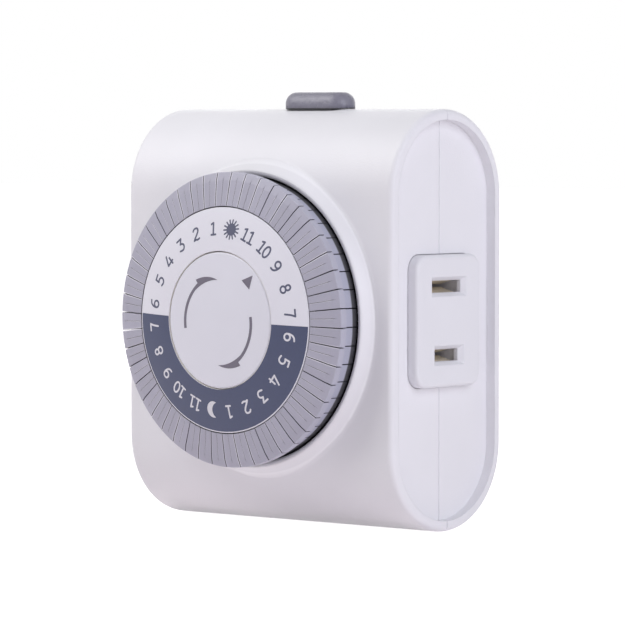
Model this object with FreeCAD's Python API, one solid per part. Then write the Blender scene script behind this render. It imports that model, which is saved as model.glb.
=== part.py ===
"""Plug-in mechanical 24-hour timer with a tripper dial and an outlet in each side.

Frame, in millimetres: origin at the centre of the flat back face, which lies against the
wall. +X is to the right of someone who faces the dial, +Y goes back into the wall and +Z is up.
Angles round the dial run clockwise from the top, as seen from the front, which is also the
positive turn about +Y.
"""
import FreeCAD
import Part
import math
import os

V = FreeCAD.Vector

# Gear train from the motor to the dial
module = 0.6
ring_teeth = 60
dial_pinion_teeth = 15
second_wheel_teeth = 36
second_pinion_teeth = 12
first_wheel_teeth = 40
motor_pinion_teeth = 10
pressure_angle = math.radians(20)
tooth_thinning = 0.11
ring_gear_w = 3.0
wheel_t = 1.5
train_gap = 0.4
axle_r = 0.8
axle_seat = 0.8
train_angle = 263.5
window_clear = 0.4

# Dial: number disc, tripper carrier and inner gear ring
dial_turned = 9.0
dial_proud = 9.0
disc_clear = 0.2
disc_rise = 1.3
disc_crown = 0.15
disc_t = 1.5
disc_seat = 0.3
ring_relief = 0.18
drum_wall = 1.95
flange_t = 1.4
slot_clear = 0.3
hub_wall = 2.0
hub_short = 1.0
ring_gear_set_back = 0.9
bearing_clear = 0.05
running_gap = 0.3
cut_past = 0.2

# Trippers: 48 half-hour push pins, in 24 pairs of one hour each
tripper_count = 48
tripper_gap = 0.2
tripper_depth = 5.25
head_overhang = 1.05
crease_inset = 1.5
tripper_face_drop = 0.9
tripper_bevel_drop = 0.53
tripper_head_side = 1.42
tripper_body_len = 4.15
tripper_groove_w = 0.24
tripper_groove_d = 0.14
tripper_travel = 3.0
stem_inset = 1.3
stem_depth = 2.6
stem_w = 1.3
hook_t = 0.8
hook_len = 1.2

# Centre cap, which stays still while the dial turns
cap_r = 12.65
cap_gap = 0.2
cap_t = 1.3
cap_crown = 0.4
cap_edge = 0.25
cap_stem_len = 7.0

# Raised ring round the dial, and the closed well behind it
well_clear = 0.3
ring_crest_w = 1.0
ring_slope_w = 1.45
ring_rise = 2.6
ring_root = 1.5
well_wall = 1.2
well_floor_t = 1.5
floor_clear = 0.7
post_r = 5.0
post_bore_r = 3.0
post_bore_depth = 9.0

# Housing: a flat-sided pill shape run along X, split into two shells at mid depth
body_d = 32.0
side_margin = 3.85
end_margin = 9.95
wall = 2.0
edge_round = 1.1
side_recess = 2.0
rim_t = 2.0
seam_v = 0.3
lip_t = 0.9
lip_h = 1.2
lip_clear = 0.12
lip_gap = 5.0

# Motor: a sealed geared motor on the back of the gear plate
motor_x = 9.0
motor_low = 18.5
motor_r = 12.75
motor_len = 11.0
motor_skin = 0.6
motor_bevel = 1.0
motor_cover_t = 0.8
motor_ear_span = 15.2
motor_ear_r = 2.4
motor_shaft_r = 0.75
motor_shaft_in = 2.0
motor_rest_span = 5.0
motor_rest_half = 7.0
motor_rest_t = 1.2
coil_t = 6.0
coil_core_r = 4.2
coil_set_in = 1.2
bobbin_flange_t = 1.0
bobbin_wall = 1.0
gear_plate_t = 1.2
plate_left = -16.4
plate_right = 21.4
plate_step_x = 16.4
plate_step_z = -10.6
plate_round = 1.5
plate_shaft_hole_r = 3.0
plate_screw_in = 2.4
plate_screw_low = 3.6

# Override slider on top, and the switch lever that it and the trippers rock
slider_len = 15.3
slider_w = 6.5
slider_h = 3.2
slider_round = 2.2
slider_lift = 0.2
slider_skirt = 0.35
slider_travel = 3.8
slider_stem_len = 5.0
slider_stem_w = 3.0
slider_foot_len = 12.0
slider_foot_w = 5.4
slider_foot_t = 0.8
wedge_lead = 0.8
wedge_t = 1.2
wedge_overlap = 1.4
lever_w = 3.0
lever_tip_w = 1.0
lever_set_back = 3.5
lever_above_well = 1.9
lever_hub_r = 1.8
lever_tail_back = 1.1
lever_tail_under = 0.7
lever_arm_t = 1.5
feeler_in_stem = 1.5
feeler_reach = 1.8
lever_lash = 0.3
lug_t = 1.5
lever_way_low = 2.6
lever_way_high = 1.4
lug_half = 2.2
lug_root = 1.4
lug_back = 1.8

# Switch contacts
leaf_t = 0.4
leaf_w = 4.0
leaf_root_z = 8.0
leaf_tail = 3.0
leaf_over_pusher = 4.7
contact_over_pusher = 1.9
pusher_up = 0.3
pusher_half = 0.6
contact_r = 1.5
contact_t = 0.8
contact_bevel = 0.35
contact_gap = 0.95
closed_gap = 0.06
strip_t = 0.8
strip_top = 2.2
bus_w = 2.4
bus_space = 1.4
bus_behind_clips = 0.875
bus_foot_len = 2.0
bus_foot_half = 1.3
hot_bus_rise = 1.25
terminal_low = 1.5
terminal_top = 3.0
rivet_drop = 1.5
rivet_r = 0.7
rivet_head_r = 1.5
rivet_head_t = 0.6
rivet_clear = 0.4
seat_gap = 0.1

# Outlets: two polarised two-blade outlets, one in each side, with blades lying flat
outlet_w = 18.6
outlet_h = 24.5
outlet_corner = 2.8
outlet_back = 0.35
outlet_proud = 0.2
outlet_round = 0.8
outlet_skin = 1.8
outlet_fit = 0.1
outlet_flange = 1.4
outlet_flange_t = 0.8
outlet_chamber = 4.2
chamber_side = 1.45
chamber_end = 1.65
blade_pitch = 12.7
neutral_slot_len = 8.4
hot_slot_len = 6.85
slot_h = 2.25
funnel_side = 0.9
funnel_up = 0.7
funnel_deep = 0.9
clip_t = 0.6
clip_len = 13.1
clip_straight = 5.0
clip_nose = 3.0
clip_pinch = 0.5
clip_mouth = 2.2
clip_half_h = 1.9
clip_room = 0.3
clip_narrower = 1.2
spine_lap = 0.3

# Plug blades on the back
blade_t = 1.5
neutral_blade_h = 7.9
hot_blade_h = 6.35
blade_len = 17.0
blade_root = 4.5
blade_nose = 1.6
blade_nose_half = 0.34
blade_corner = 0.8
blade_hole_r = 1.6
blade_hole_in = 5.2

# Screws
screw_side = 3.5
screw_end = 11.1
screw_r = 1.1
screw_head_r = 2.6
screw_head_t = 1.8
screw_sink = 3.0
screw_len = 21.0
screw_slack = 0.3
boss_r = 3.2
boss_seat = 0.5
small_screw_r = 0.8
small_head_r = 1.6
small_head_t = 1.0
small_screw_len = 5.0
small_slack = 0.2
plate_post_r = 1.8

# Worked out from the sizes above, from the gear ring outwards
ring_gear_r = module * ring_teeth / 2
wheel_tip = 0.6 * module
pinion_tip = 0.95 * module
root_depth = 1.2 * module
drum_in_r = ring_gear_r + root_depth + ring_relief
drum_r = drum_in_r + drum_wall
tripper_in_r = drum_r + running_gap
tripper_body_r = tripper_in_r + tripper_depth
tripper_out_r = tripper_body_r + head_overhang
tripper_crease_r = tripper_out_r - crease_inset
stem_out_r = tripper_body_r - stem_inset
stem_in_r = stem_out_r - stem_depth
hook_in_r = stem_in_r - hook_len
bore_r = tripper_body_r + well_clear
ring_crest_r = bore_r + ring_crest_w
ring_foot_r = ring_crest_r + ring_slope_w
well_out_r = bore_r + well_wall
half_w = ring_foot_r + side_margin
half_h = ring_foot_r + end_margin
mid_y = -body_d / 2
front_y = -body_d
panel_x = half_w - side_recess
inner_x = panel_x - wall
crest_y = front_y - ring_rise

# From the dial's front backwards
pitch_angle = 360.0 / tripper_count
tripper_front_y = front_y - dial_proud
head_back_y = tripper_front_y + tripper_face_drop + tripper_bevel_drop + tripper_head_side
body_back_y = head_back_y + tripper_body_len
flange_y = body_back_y + tripper_travel + running_gap
hook_y = flange_y + flange_t + running_gap
stem_back_y = hook_y + hook_t
ring_gear_back_y = stem_back_y + ring_gear_set_back
ring_gear_front_y = ring_gear_back_y - ring_gear_w
disc_r = tripper_in_r - disc_clear
disc_back_y = tripper_front_y + disc_t + disc_seat
cap_front_y = tripper_front_y - disc_rise
cap_back_y = cap_front_y + cap_t
recess_floor_y = cap_back_y + running_gap
recess_r = cap_r + cap_gap
well_floor_y = stem_back_y + tripper_travel + floor_clear
floor_back_y = well_floor_y + well_floor_t
second_wheel_y = floor_back_y + train_gap
first_wheel_y = second_wheel_y + wheel_t + train_gap
gear_plate_y = first_wheel_y + wheel_t + train_gap
motor_cover_y = gear_plate_y + gear_plate_t
motor_can_y = motor_cover_y + motor_cover_t

# Places of the motor, its plate and the screws
motor_z = motor_low - (half_h - wall)
motor_ear_spots = [(motor_x, motor_z + motor_ear_span), (motor_x, motor_z - motor_ear_span)]
plate_top = motor_z + motor_ear_span + motor_ear_r
plate_bottom = motor_z - motor_ear_span - motor_ear_r
plate_screw_spots = [
    (plate_left + plate_post_r, plate_bottom + plate_post_r),
    (plate_right - plate_post_r, plate_bottom + plate_post_r),
    (plate_step_x - plate_screw_in, plate_top - plate_screw_low),
]
screw_x = inner_x - screw_side
screw_z = half_h - screw_end
screw_spots = [(x, z) for x in (-screw_x, screw_x) for z in (-screw_z, screw_z)]

# Places of the slider, the switch lever and the contacts
slider_x = slider_travel / 2
slider_foot_top = half_h - wall - 2 * running_gap
slider_foot_low = slider_foot_top - slider_foot_t
feeler_r = stem_in_r + feeler_in_stem
feeler_angle = math.radians(dial_turned - pitch_angle)
lever_x = feeler_r * math.sin(feeler_angle)
feeler_z = feeler_r * math.cos(feeler_angle)
lever_pivot_y = floor_back_y + lever_set_back
lever_pivot_z = well_out_r + lever_above_well
lever_tail_y = lever_pivot_y + lever_tail_back
lever_tail_z = slider_foot_low - lever_tail_under
pusher_z = feeler_z + pusher_up
leaf_top_z = pusher_z + leaf_over_pusher
contact_z = pusher_z + contact_over_pusher
outlet_y = mid_y + outlet_back
hot_spine_back_y = outlet_y + hot_slot_len / 2 - spine_lap + clip_t
riser_y = hot_spine_back_y + bus_behind_clips
leaf_back_y = riser_y - 2 * contact_t - contact_gap
leaf_y = leaf_back_y - leaf_t
leaf_swing = (contact_gap - closed_gap) / (contact_z - leaf_root_z)
leaf_push = leaf_swing * (pusher_z - leaf_root_z)
lever_swing = (leaf_push + lever_lash / 2) / (lever_pivot_z - pusher_z)
wedge_slope = lever_swing * (lever_tail_z - lever_pivot_z) / slider_travel

# Places of the outlets
outlet_face_x = half_w + outlet_proud
clip_tip_x = outlet_face_x - outlet_skin - clip_room
clip_root_x = clip_tip_x - clip_len


def box(x0, x1, y0, y1, z0, z1):
    """Block between two corners."""
    return Part.makeBox(x1 - x0, y1 - y0, z1 - z0, V(x0, y0, z0))


def rod(x, z, radius, y0, y1):
    """Round bar along Y."""
    return Part.makeCylinder(radius, y1 - y0, V(x, y0, z), V(0, 1, 0))


def turned(points, sweep=360.0, start=0.0):
    """Solid turned about the dial axis from (radius, y) points."""
    corners = [V(0, y, r) for r, y in points]
    face = Part.Face(Part.makePolygon(corners + corners[:1]))
    solid = face.revolve(V(0, 0, 0), V(0, 1, 0), sweep)
    solid.rotate(V(0, 0, 0), V(0, 1, 0), start)
    return solid


def prism_yz(points, x0, x1):
    """Outline of (y, z) points pushed along X."""
    corners = [V(x0, y, z) for y, z in points]
    face = Part.Face(Part.makePolygon(corners + corners[:1]))
    return face.extrude(V(x1 - x0, 0, 0))


def prism_xz(points, y0, y1):
    """Outline of (x, z) points pushed along Y."""
    corners = [V(x, y0, z) for x, z in points]
    face = Part.Face(Part.makePolygon(corners + corners[:1]))
    return face.extrude(V(0, y1 - y0, 0))


def prism_xy(points, z0, z1):
    """Outline of (x, y) points pushed along Z."""
    corners = [V(x, y, z0) for x, y in points]
    face = Part.Face(Part.makePolygon(corners + corners[:1]))
    return face.extrude(V(0, 0, z1 - z0))


def pill(inset, x0, x1):
    """The housing's flat-sided pill outline, drawn in by inset and run along X."""
    radius = body_d / 2 - inset
    straight = half_h - body_d / 2
    front = mid_y - radius
    back = mid_y + radius
    top_arc = Part.Arc(V(x0, front, straight), V(x0, mid_y, straight + radius), V(x0, back, straight))
    low_arc = Part.Arc(V(x0, back, -straight), V(x0, mid_y, -straight - radius), V(x0, front, -straight))
    edges = [
        Part.LineSegment(V(x0, front, -straight), V(x0, front, straight)).toShape(),
        top_arc.toShape(),
        Part.LineSegment(V(x0, back, straight), V(x0, back, -straight)).toShape(),
        low_arc.toShape(),
    ]
    return Part.Face(Part.Wire(edges)).extrude(V(x1 - x0, 0, 0))


def rounded_block(x0, x1, cy, cz, width, height, corner):
    """Block along X with its four long edges rounded."""
    block = box(x0, x1, cy - width / 2, cy + width / 2, cz - height / 2, cz + height / 2)
    long_edges = [e for e in block.Edges if abs(e.Length - abs(x1 - x0)) < 1e-6]
    along_x = [e for e in long_edges if abs(e.tangentAt(e.FirstParameter).x) > 0.99]
    return block.makeFillet(corner, along_x)


def fuse(first, *others):
    """One solid from pieces that meet."""
    return first.multiFuse(list(others)).removeSplitter()


def mirrored(shape):
    """The same shape on the other side of the body."""
    return shape.mirror(V(0, 0, 0), V(1, 0, 0))


def involute(angle):
    """Involute function of a pressure angle in radians."""
    return math.tan(angle) - angle


def gear(teeth, tip, root, thinning, x, z, y0, y1, phase):
    """Spur gear with involute flanks; phase is where a tooth's middle stands, in degrees."""
    pitch_r = module * teeth / 2
    base_r = pitch_r * math.cos(pressure_angle)
    half_at_pitch = math.pi / (2 * teeth) - thinning / (2 * pitch_r)
    stations = []
    for radius in (pitch_r - root, pitch_r, pitch_r + tip):
        pressure = math.acos(min(1.0, base_r / max(radius, base_r)))
        half = half_at_pitch + involute(pressure_angle) - involute(pressure)
        stations.append((radius, half))
    outline = []
    for tooth in range(teeth):
        middle = math.radians(phase) + 2 * math.pi * tooth / teeth
        for radius, half in stations:
            outline.append((radius, middle - half))
        for radius, half in reversed(stations):
            outline.append((radius, middle + half))
    points = [(x + r * math.sin(a), z + r * math.cos(a)) for r, a in outline]
    return prism_xz(points, y0, y1)


def aim(from_point, to_point):
    """Clockwise angle from the top, in degrees, of one point seen from another."""
    return math.degrees(math.atan2(to_point[0] - from_point[0], to_point[1] - from_point[1]))


def meshed_phase(phase, teeth, mate_teeth, bearing):
    """Phase of the mating outside gear that stands at this bearing from the first."""
    turn = (phase - bearing) * teeth / mate_teeth
    return bearing + 180 - turn + 180.0 / mate_teeth


def ring_mate_phase(phase, teeth, mate_teeth, bearing):
    """Phase of a pinion inside a gear ring, at this bearing from the ring's centre."""
    return bearing + (phase + 180.0 / teeth - bearing) * teeth / mate_teeth


def gear_train():
    """Centres and phases of the train: ring, second gear, first gear and motor pinion."""
    motor = (motor_x, motor_z)
    first_span = module * (first_wheel_teeth + motor_pinion_teeth) / 2
    bearing = math.radians(train_angle)
    first = (motor_x + first_span * math.sin(bearing), motor_z + first_span * math.cos(bearing))
    second_span = module * (second_wheel_teeth + second_pinion_teeth) / 2
    ring_span = module * (ring_teeth - dial_pinion_teeth) / 2
    reach = math.hypot(*first)
    along = (ring_span ** 2 - second_span ** 2 + reach ** 2) / (2 * reach)
    aside = math.sqrt(ring_span ** 2 - along ** 2)
    ux = first[0] / reach
    uz = first[1] / reach
    second = (along * ux + aside * uz, along * uz - aside * ux)
    second_phase = ring_mate_phase(dial_turned, ring_teeth, dial_pinion_teeth, aim((0, 0), second))
    first_phase = meshed_phase(second_phase, second_wheel_teeth, second_pinion_teeth, aim(second, first))
    motor_phase = meshed_phase(first_phase, first_wheel_teeth, motor_pinion_teeth, aim(first, motor))
    return {"second": (second, second_phase), "first": (first, first_phase), "motor": (motor, motor_phase)}


train = gear_train()


def plug_blade_slots():
    """Cutters for the two blade slots in the back wall."""
    hot = box(blade_pitch / 2 - blade_t / 2, blade_pitch / 2 + blade_t / 2, -body_d, 1, -hot_blade_h / 2,
              hot_blade_h / 2)
    neutral = box(-blade_pitch / 2 - blade_t / 2, -blade_pitch / 2 + blade_t / 2, -body_d, 1,
                  -neutral_blade_h / 2, neutral_blade_h / 2)
    return hot, neutral


def shell():
    """Both housing shells in one: the pill, its side pockets and its hollow."""
    outer = pill(0, -half_w, half_w)
    ends = [e for e in outer.Edges if abs(abs(e.CenterOfMass.x) - half_w) < 1e-6]
    outer = outer.makeFillet(edge_round, ends)
    pocket = pill(rim_t, panel_x, half_w + 1)
    hollow = pill(wall, -inner_x, inner_x)
    window = rounded_block(inner_x - 1, half_w + 1, outlet_y, 0, outlet_w + 2 * outlet_fit,
                           outlet_h + 2 * outlet_fit, outlet_corner + outlet_fit)
    slot_half = slider_slot_half()
    slot_w = slider_stem_w / 2 + running_gap
    slider_slot = box(-slot_half, slot_half, mid_y - slot_w, mid_y + slot_w, half_h - wall - 1, half_h + 1)
    cutters = [pocket, mirrored(pocket), hollow, window, mirrored(window), slider_slot]
    for sign in (-1, 1):
        cutters.append(seam_notch_top(sign))
        cutters.append(seam_notch_side(sign, panel_x))
        cutters.append(seam_notch_side(sign, half_w))
    return outer.cut(cutters)


def slider_slot_half():
    """Half the length of the slot that the slider's stem runs in."""
    return slider_stem_len / 2 + slider_travel / 2 + running_gap


def seam_notch_top(sign):
    """Fine V along the seam over the top or under the bottom."""
    z = sign * half_h
    points = [(mid_y - seam_v, z), (mid_y, z - sign * seam_v), (mid_y + seam_v, z),
              (mid_y, z + sign * seam_v)]
    return prism_yz(points, -half_w - 1, half_w + 1)


def seam_notch_side(sign, face_x):
    """Fine V along the seam down a side panel, or across the rim round it."""
    x = sign * face_x
    half = seam_v / 2
    points = [(x, mid_y - half), (x - sign * seam_v, mid_y), (x, mid_y + half), (x + sign * half, mid_y)]
    return prism_xy(points, -half_h - 1, half_h + 1)


def lip_frame(clear):
    """The lip that locates the two shells: a thin frame inside the walls."""
    out_x = inner_x + lip_t + clear
    out_z = half_h - wall + lip_t + clear
    in_x = inner_x - 1
    in_z = half_h - wall - 1
    frame = box(-out_x, out_x, mid_y - lip_h - clear, mid_y, -out_z, out_z)
    return frame.cut(box(-in_x, in_x, mid_y - lip_h - 1, mid_y + 1, -in_z, in_z))


def ring_profile():
    """Outline of the raised ring and the well, in (y, radius), with its rounded crest."""
    root_r = ring_foot_r + ring_root * ring_slope_w / ring_rise
    root = V(0, front_y + ring_root, root_r)
    crest = V(0, crest_y, ring_crest_r)
    bend = ring_crest_w * (1 - math.sqrt(0.5))
    lip = V(0, crest_y + ring_crest_w, bore_r)
    corners = [
        V(0, well_floor_y, bore_r),
        V(0, well_floor_y, 0),
        V(0, floor_back_y, 0),
        V(0, floor_back_y, well_out_r),
        V(0, front_y + wall, well_out_r),
        V(0, front_y + wall, root_r),
        root,
        crest,
    ]
    path = [lip] + corners
    edges = [Part.LineSegment(a, b).toShape() for a, b in zip(path, path[1:])]
    edges.append(Part.Arc(crest, V(0, crest_y + bend, bore_r + bend), lip).toShape())
    return Part.Wire(edges)


def lever_lug(side):
    """One of the two lugs behind the well that hold the lever's axle."""
    inner = lever_x + side * (lever_w / 2 + running_gap)
    outer = inner + side * lug_t
    root_z = well_out_r - lug_half
    return prism_yz([
        (floor_back_y - lug_root, root_z),
        (floor_back_y - lug_root, lever_pivot_z + lug_half),
        (lever_pivot_y + lug_back, lever_pivot_z + lug_half),
        (lever_pivot_y + lug_back, lever_pivot_z - lug_half),
        (floor_back_y + lug_root, root_z),
    ], min(inner, outer), max(inner, outer))


def front_housing(shells):
    """Front shell with the dial well, its centre post, the lever lugs and screw bosses."""
    front = shells.common(box(-half_w - 1, half_w + 1, front_y - 1, mid_y, -half_h - 1, half_h + 1))
    front = front.cut(lip_frame(lip_clear))
    front = front.cut(rod(0, 0, bore_r + well_wall / 2, front_y - 1, front_y + wall + 1))
    inside = pill(wall / 2, -half_w + wall, half_w - wall)
    pieces = [Part.Face(ring_profile()).revolve(V(0, 0, 0), V(0, 1, 0), 360)]
    pieces.append(rod(0, 0, post_r, cap_back_y, well_floor_y + well_floor_t / 2))
    for x, z in screw_spots:
        pieces.append(rod(x, z, boss_r, front_y, mid_y - seat_gap).common(inside))
    well_space = rod(0, 0, bore_r, front_y - 1, well_floor_y + seat_gap)
    for x, z in plate_screw_spots:
        pieces.append(rod(x, z, plate_post_r, front_y, gear_plate_y).common(inside).cut(well_space))
    pieces += [lever_lug(-1), lever_lug(1)]
    front = fuse(front, *pieces)
    second = train["second"][0]
    first = train["first"][0]
    window_r = module * dial_pinion_teeth / 2 + pinion_tip + window_clear
    lever_way = lever_w / 2 + running_gap
    holes = [
        rod(0, 0, post_bore_r, cap_back_y - 1, cap_back_y + post_bore_depth),
        rod(second[0], second[1], window_r, well_floor_y - 1, floor_back_y + 1),
        rod(first[0], first[1], axle_r, floor_back_y - axle_seat, floor_back_y + 1),
        box(lever_x - lever_way, lever_x + lever_way, well_floor_y - 1, floor_back_y + 1,
            feeler_z - lever_way_low, feeler_z + lever_way_high),
        Part.makeCylinder(axle_r, lever_axle_span() + 2,
                          V(lever_x - lever_axle_span() / 2 - 1, lever_pivot_y, lever_pivot_z), V(1, 0, 0)),
    ]
    screw_tip_y = -screw_sink - screw_head_t - screw_len
    for x, z in screw_spots:
        holes.append(rod(x, z, screw_r, screw_tip_y - boss_seat, mid_y + 1))
    for x, z in plate_screw_spots:
        holes.append(rod(x, z, small_screw_r, gear_plate_y - small_screw_len, gear_plate_y + 1))
    return front.cut(holes)


def rear_housing(shells):
    """Rear shell with its lip, screw bosses, motor rests and blade slots."""
    rear = shells.common(box(-half_w - 1, half_w + 1, mid_y, 1, -half_h - 1, half_h + 1))
    lip = lip_frame(0).cut(pill(wall, -inner_x, inner_x))
    lip = lip.cut(rounded_block(-half_w, half_w, outlet_y, 0, outlet_w + 2 * outlet_fit,
                                outlet_h + 2 * outlet_fit, outlet_corner))
    slot_half = slider_slot_half()
    lip = lip.cut(box(-slot_half, slot_half, mid_y - lip_gap, mid_y + lip_gap, 0, half_h + 1))
    inside = pill(wall / 2, -half_w + wall, half_w - wall)
    pieces = list(lip.Solids)
    for x, z in screw_spots:
        pieces.append(rod(x, z, boss_r + boss_seat, mid_y + seat_gap, -wall / 2).common(inside))
    for dz in (-motor_rest_span, motor_rest_span):
        low = motor_z + dz - motor_rest_t / 2
        pieces.append(box(motor_x - motor_rest_half, motor_x + motor_rest_half, motor_can_y + motor_len,
                          -wall / 2, low, low + motor_rest_t))
    rear = fuse(rear, *pieces)
    cutters = list(plug_blade_slots())
    for x, z in screw_spots:
        cutters.append(rod(x, z, screw_head_r + screw_slack, -screw_sink - screw_head_t, 1))
        cutters.append(rod(x, z, screw_r + screw_slack, mid_y - 1, 1))
    return rear.cut(cutters)


def tripper(index):
    """One half-hour push pin: a wedge head with a creased face, a stem and a hook."""
    middle = dial_turned + (index + 0.5) * pitch_angle
    y0 = tripper_front_y
    profile = [
        (tripper_in_r, y0),
        (tripper_crease_r, y0 + tripper_face_drop),
        (tripper_out_r, y0 + tripper_face_drop + tripper_bevel_drop),
        (tripper_out_r, head_back_y),
        (tripper_body_r, head_back_y),
        (tripper_body_r, body_back_y),
        (tripper_in_r, body_back_y),
    ]
    sweep = pitch_angle - math.degrees(tripper_gap / tripper_body_r)
    head = turned(profile, sweep, -sweep / 2)
    slope = tripper_face_drop / (tripper_crease_r - tripper_in_r)
    reach = tripper_out_r - tripper_in_r + 2
    half = tripper_groove_w / 2
    groove_points = [(-half, -half), (half, -half), (0, tripper_groove_d)]
    corners = [V(dx, y0 - slope + dy, tripper_in_r - 1) for dx, dy in groove_points]
    groove = Part.Face(Part.makePolygon(corners + corners[:1])).extrude(V(0, slope * reach, reach))
    half_stem = stem_w / 2
    stem = box(-half_stem, half_stem, body_back_y - hook_t, stem_back_y, stem_in_r, stem_out_r)
    hook = box(-half_stem, half_stem, hook_y, stem_back_y, hook_in_r, stem_in_r + hook_t)
    pin = fuse(head, stem, hook).cut(groove)
    pin.rotate(V(0, 0, 0), V(0, 1, 0), middle)
    return pin


def dial_carrier():
    """Drum that carries the trippers, with its slotted flange, hub and inner gear ring."""
    hub_in = post_r + bearing_clear
    hub_out = hub_in + hub_wall
    hub_back_y = ring_gear_front_y - hub_short
    web_back_y = disc_back_y + disc_t
    tip_r = ring_gear_r - wheel_tip
    body = turned([
        (hub_in, disc_back_y),
        (drum_r, disc_back_y),
        (drum_r, flange_y),
        (tripper_body_r, flange_y),
        (tripper_body_r, flange_y + flange_t),
        (drum_r, flange_y + flange_t),
        (drum_r, ring_gear_back_y),
        (tip_r, ring_gear_back_y),
        (tip_r, ring_gear_front_y),
        (drum_in_r, ring_gear_front_y),
        (drum_in_r, web_back_y),
        (hub_out, web_back_y),
        (hub_out, hub_back_y),
        (hub_in, hub_back_y),
    ])
    slot_half = stem_w / 2 + slot_clear
    slots = []
    for index in range(tripper_count):
        slot = box(-slot_half, slot_half, flange_y - 1, flange_y + flange_t + 1,
                   stem_in_r - slot_clear, stem_out_r + slot_clear)
        slot.rotate(V(0, 0, 0), V(0, 1, 0), dial_turned + (index + 0.5) * pitch_angle)
        slots.append(slot)
    first_space = dial_turned + 180.0 / ring_teeth
    spaces = gear(ring_teeth, root_depth, wheel_tip + cut_past, -tooth_thinning, 0, 0,
                  ring_gear_front_y - cut_past, ring_gear_back_y + cut_past, first_space)
    return body.cut(slots + [spaces])


def number_disc():
    """Printed front of the dial: a slightly crowned cone round the recess for the centre cap."""
    inner_r = post_r + running_gap
    top = V(0, cap_front_y, recess_r)
    rim = V(0, tripper_front_y, disc_r)
    middle = (top + rim) * 0.5 - V(0, disc_crown, 0)
    path = [rim, V(0, disc_back_y, disc_r), V(0, disc_back_y, inner_r), V(0, recess_floor_y, inner_r),
            V(0, recess_floor_y, recess_r), top]
    edges = [Part.LineSegment(a, b).toShape() for a, b in zip(path, path[1:])]
    edges.append(Part.Arc(top, middle, rim).toShape())
    return Part.Face(Part.Wire(edges)).revolve(V(0, 0, 0), V(0, 1, 0), 360)


def centre_cap():
    """Still cap with the pointer, snapped into the post."""
    crown_y = cap_front_y - cap_crown
    rim_y = cap_front_y + cap_edge
    edges = [
        Part.Arc(V(0, crown_y, 0), V(0, crown_y + cap_crown / 4, (cap_r - cap_edge) / 2),
                 V(0, cap_front_y, cap_r - cap_edge)).toShape(),
        Part.LineSegment(V(0, cap_front_y, cap_r - cap_edge), V(0, rim_y, cap_r)).toShape(),
        Part.LineSegment(V(0, rim_y, cap_r), V(0, cap_back_y, cap_r)).toShape(),
        Part.LineSegment(V(0, cap_back_y, cap_r), V(0, cap_back_y, 0)).toShape(),
        Part.LineSegment(V(0, cap_back_y, 0), V(0, crown_y, 0)).toShape(),
    ]
    disc = Part.Face(Part.Wire(edges)).revolve(V(0, 0, 0), V(0, 1, 0), 360)
    stem_r = post_bore_r - bearing_clear
    return fuse(disc, rod(0, 0, stem_r, cap_back_y - cap_t / 2, cap_back_y + cap_stem_len))


def override_slider():
    """Domed thumb cap hugging the top, its stem through the slot, a foot and a wedge for the lever."""
    base_z = half_h - slider_skirt
    top_z = half_h + slider_h
    x0 = slider_x - slider_len / 2
    cap = box(x0, x0 + slider_len, mid_y - slider_w / 2, mid_y + slider_w / 2, base_z, top_z)
    upright = [e for e in cap.Edges if abs(e.tangentAt(e.FirstParameter).z) > 0.99]
    cap = cap.makeFillet(slider_w / 2 - bearing_clear, upright)
    top_edges = [e for e in cap.Edges if e.BoundBox.ZMin > top_z - 1e-4]
    cap = cap.makeFillet(slider_round, top_edges)
    cap = cap.cut(pill(-slider_lift, -half_w, half_w))
    stem = box(slider_x - slider_stem_len / 2, slider_x + slider_stem_len / 2, mid_y - slider_stem_w / 2,
               mid_y + slider_stem_w / 2, slider_foot_low, half_h + slider_h / 3)
    foot = box(slider_x - slider_foot_len / 2, slider_x + slider_foot_len / 2, mid_y - slider_foot_w / 2,
               mid_y + slider_foot_w / 2, slider_foot_low, slider_foot_top)
    face_y = lever_tail_y + lever_lash
    near_x = lever_x - wedge_lead
    far_x = lever_x + slider_travel + wedge_lead
    wedge = prism_xy([
        (near_x, face_y + wedge_lead * wedge_slope),
        (far_x, face_y - (slider_travel + wedge_lead) * wedge_slope),
        (far_x, mid_y + wedge_t),
        (near_x, mid_y + wedge_t),
    ], lever_tail_z - wedge_overlap, slider_foot_low + slider_foot_t / 4)
    return fuse(cap, stem, foot, wedge)


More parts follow.
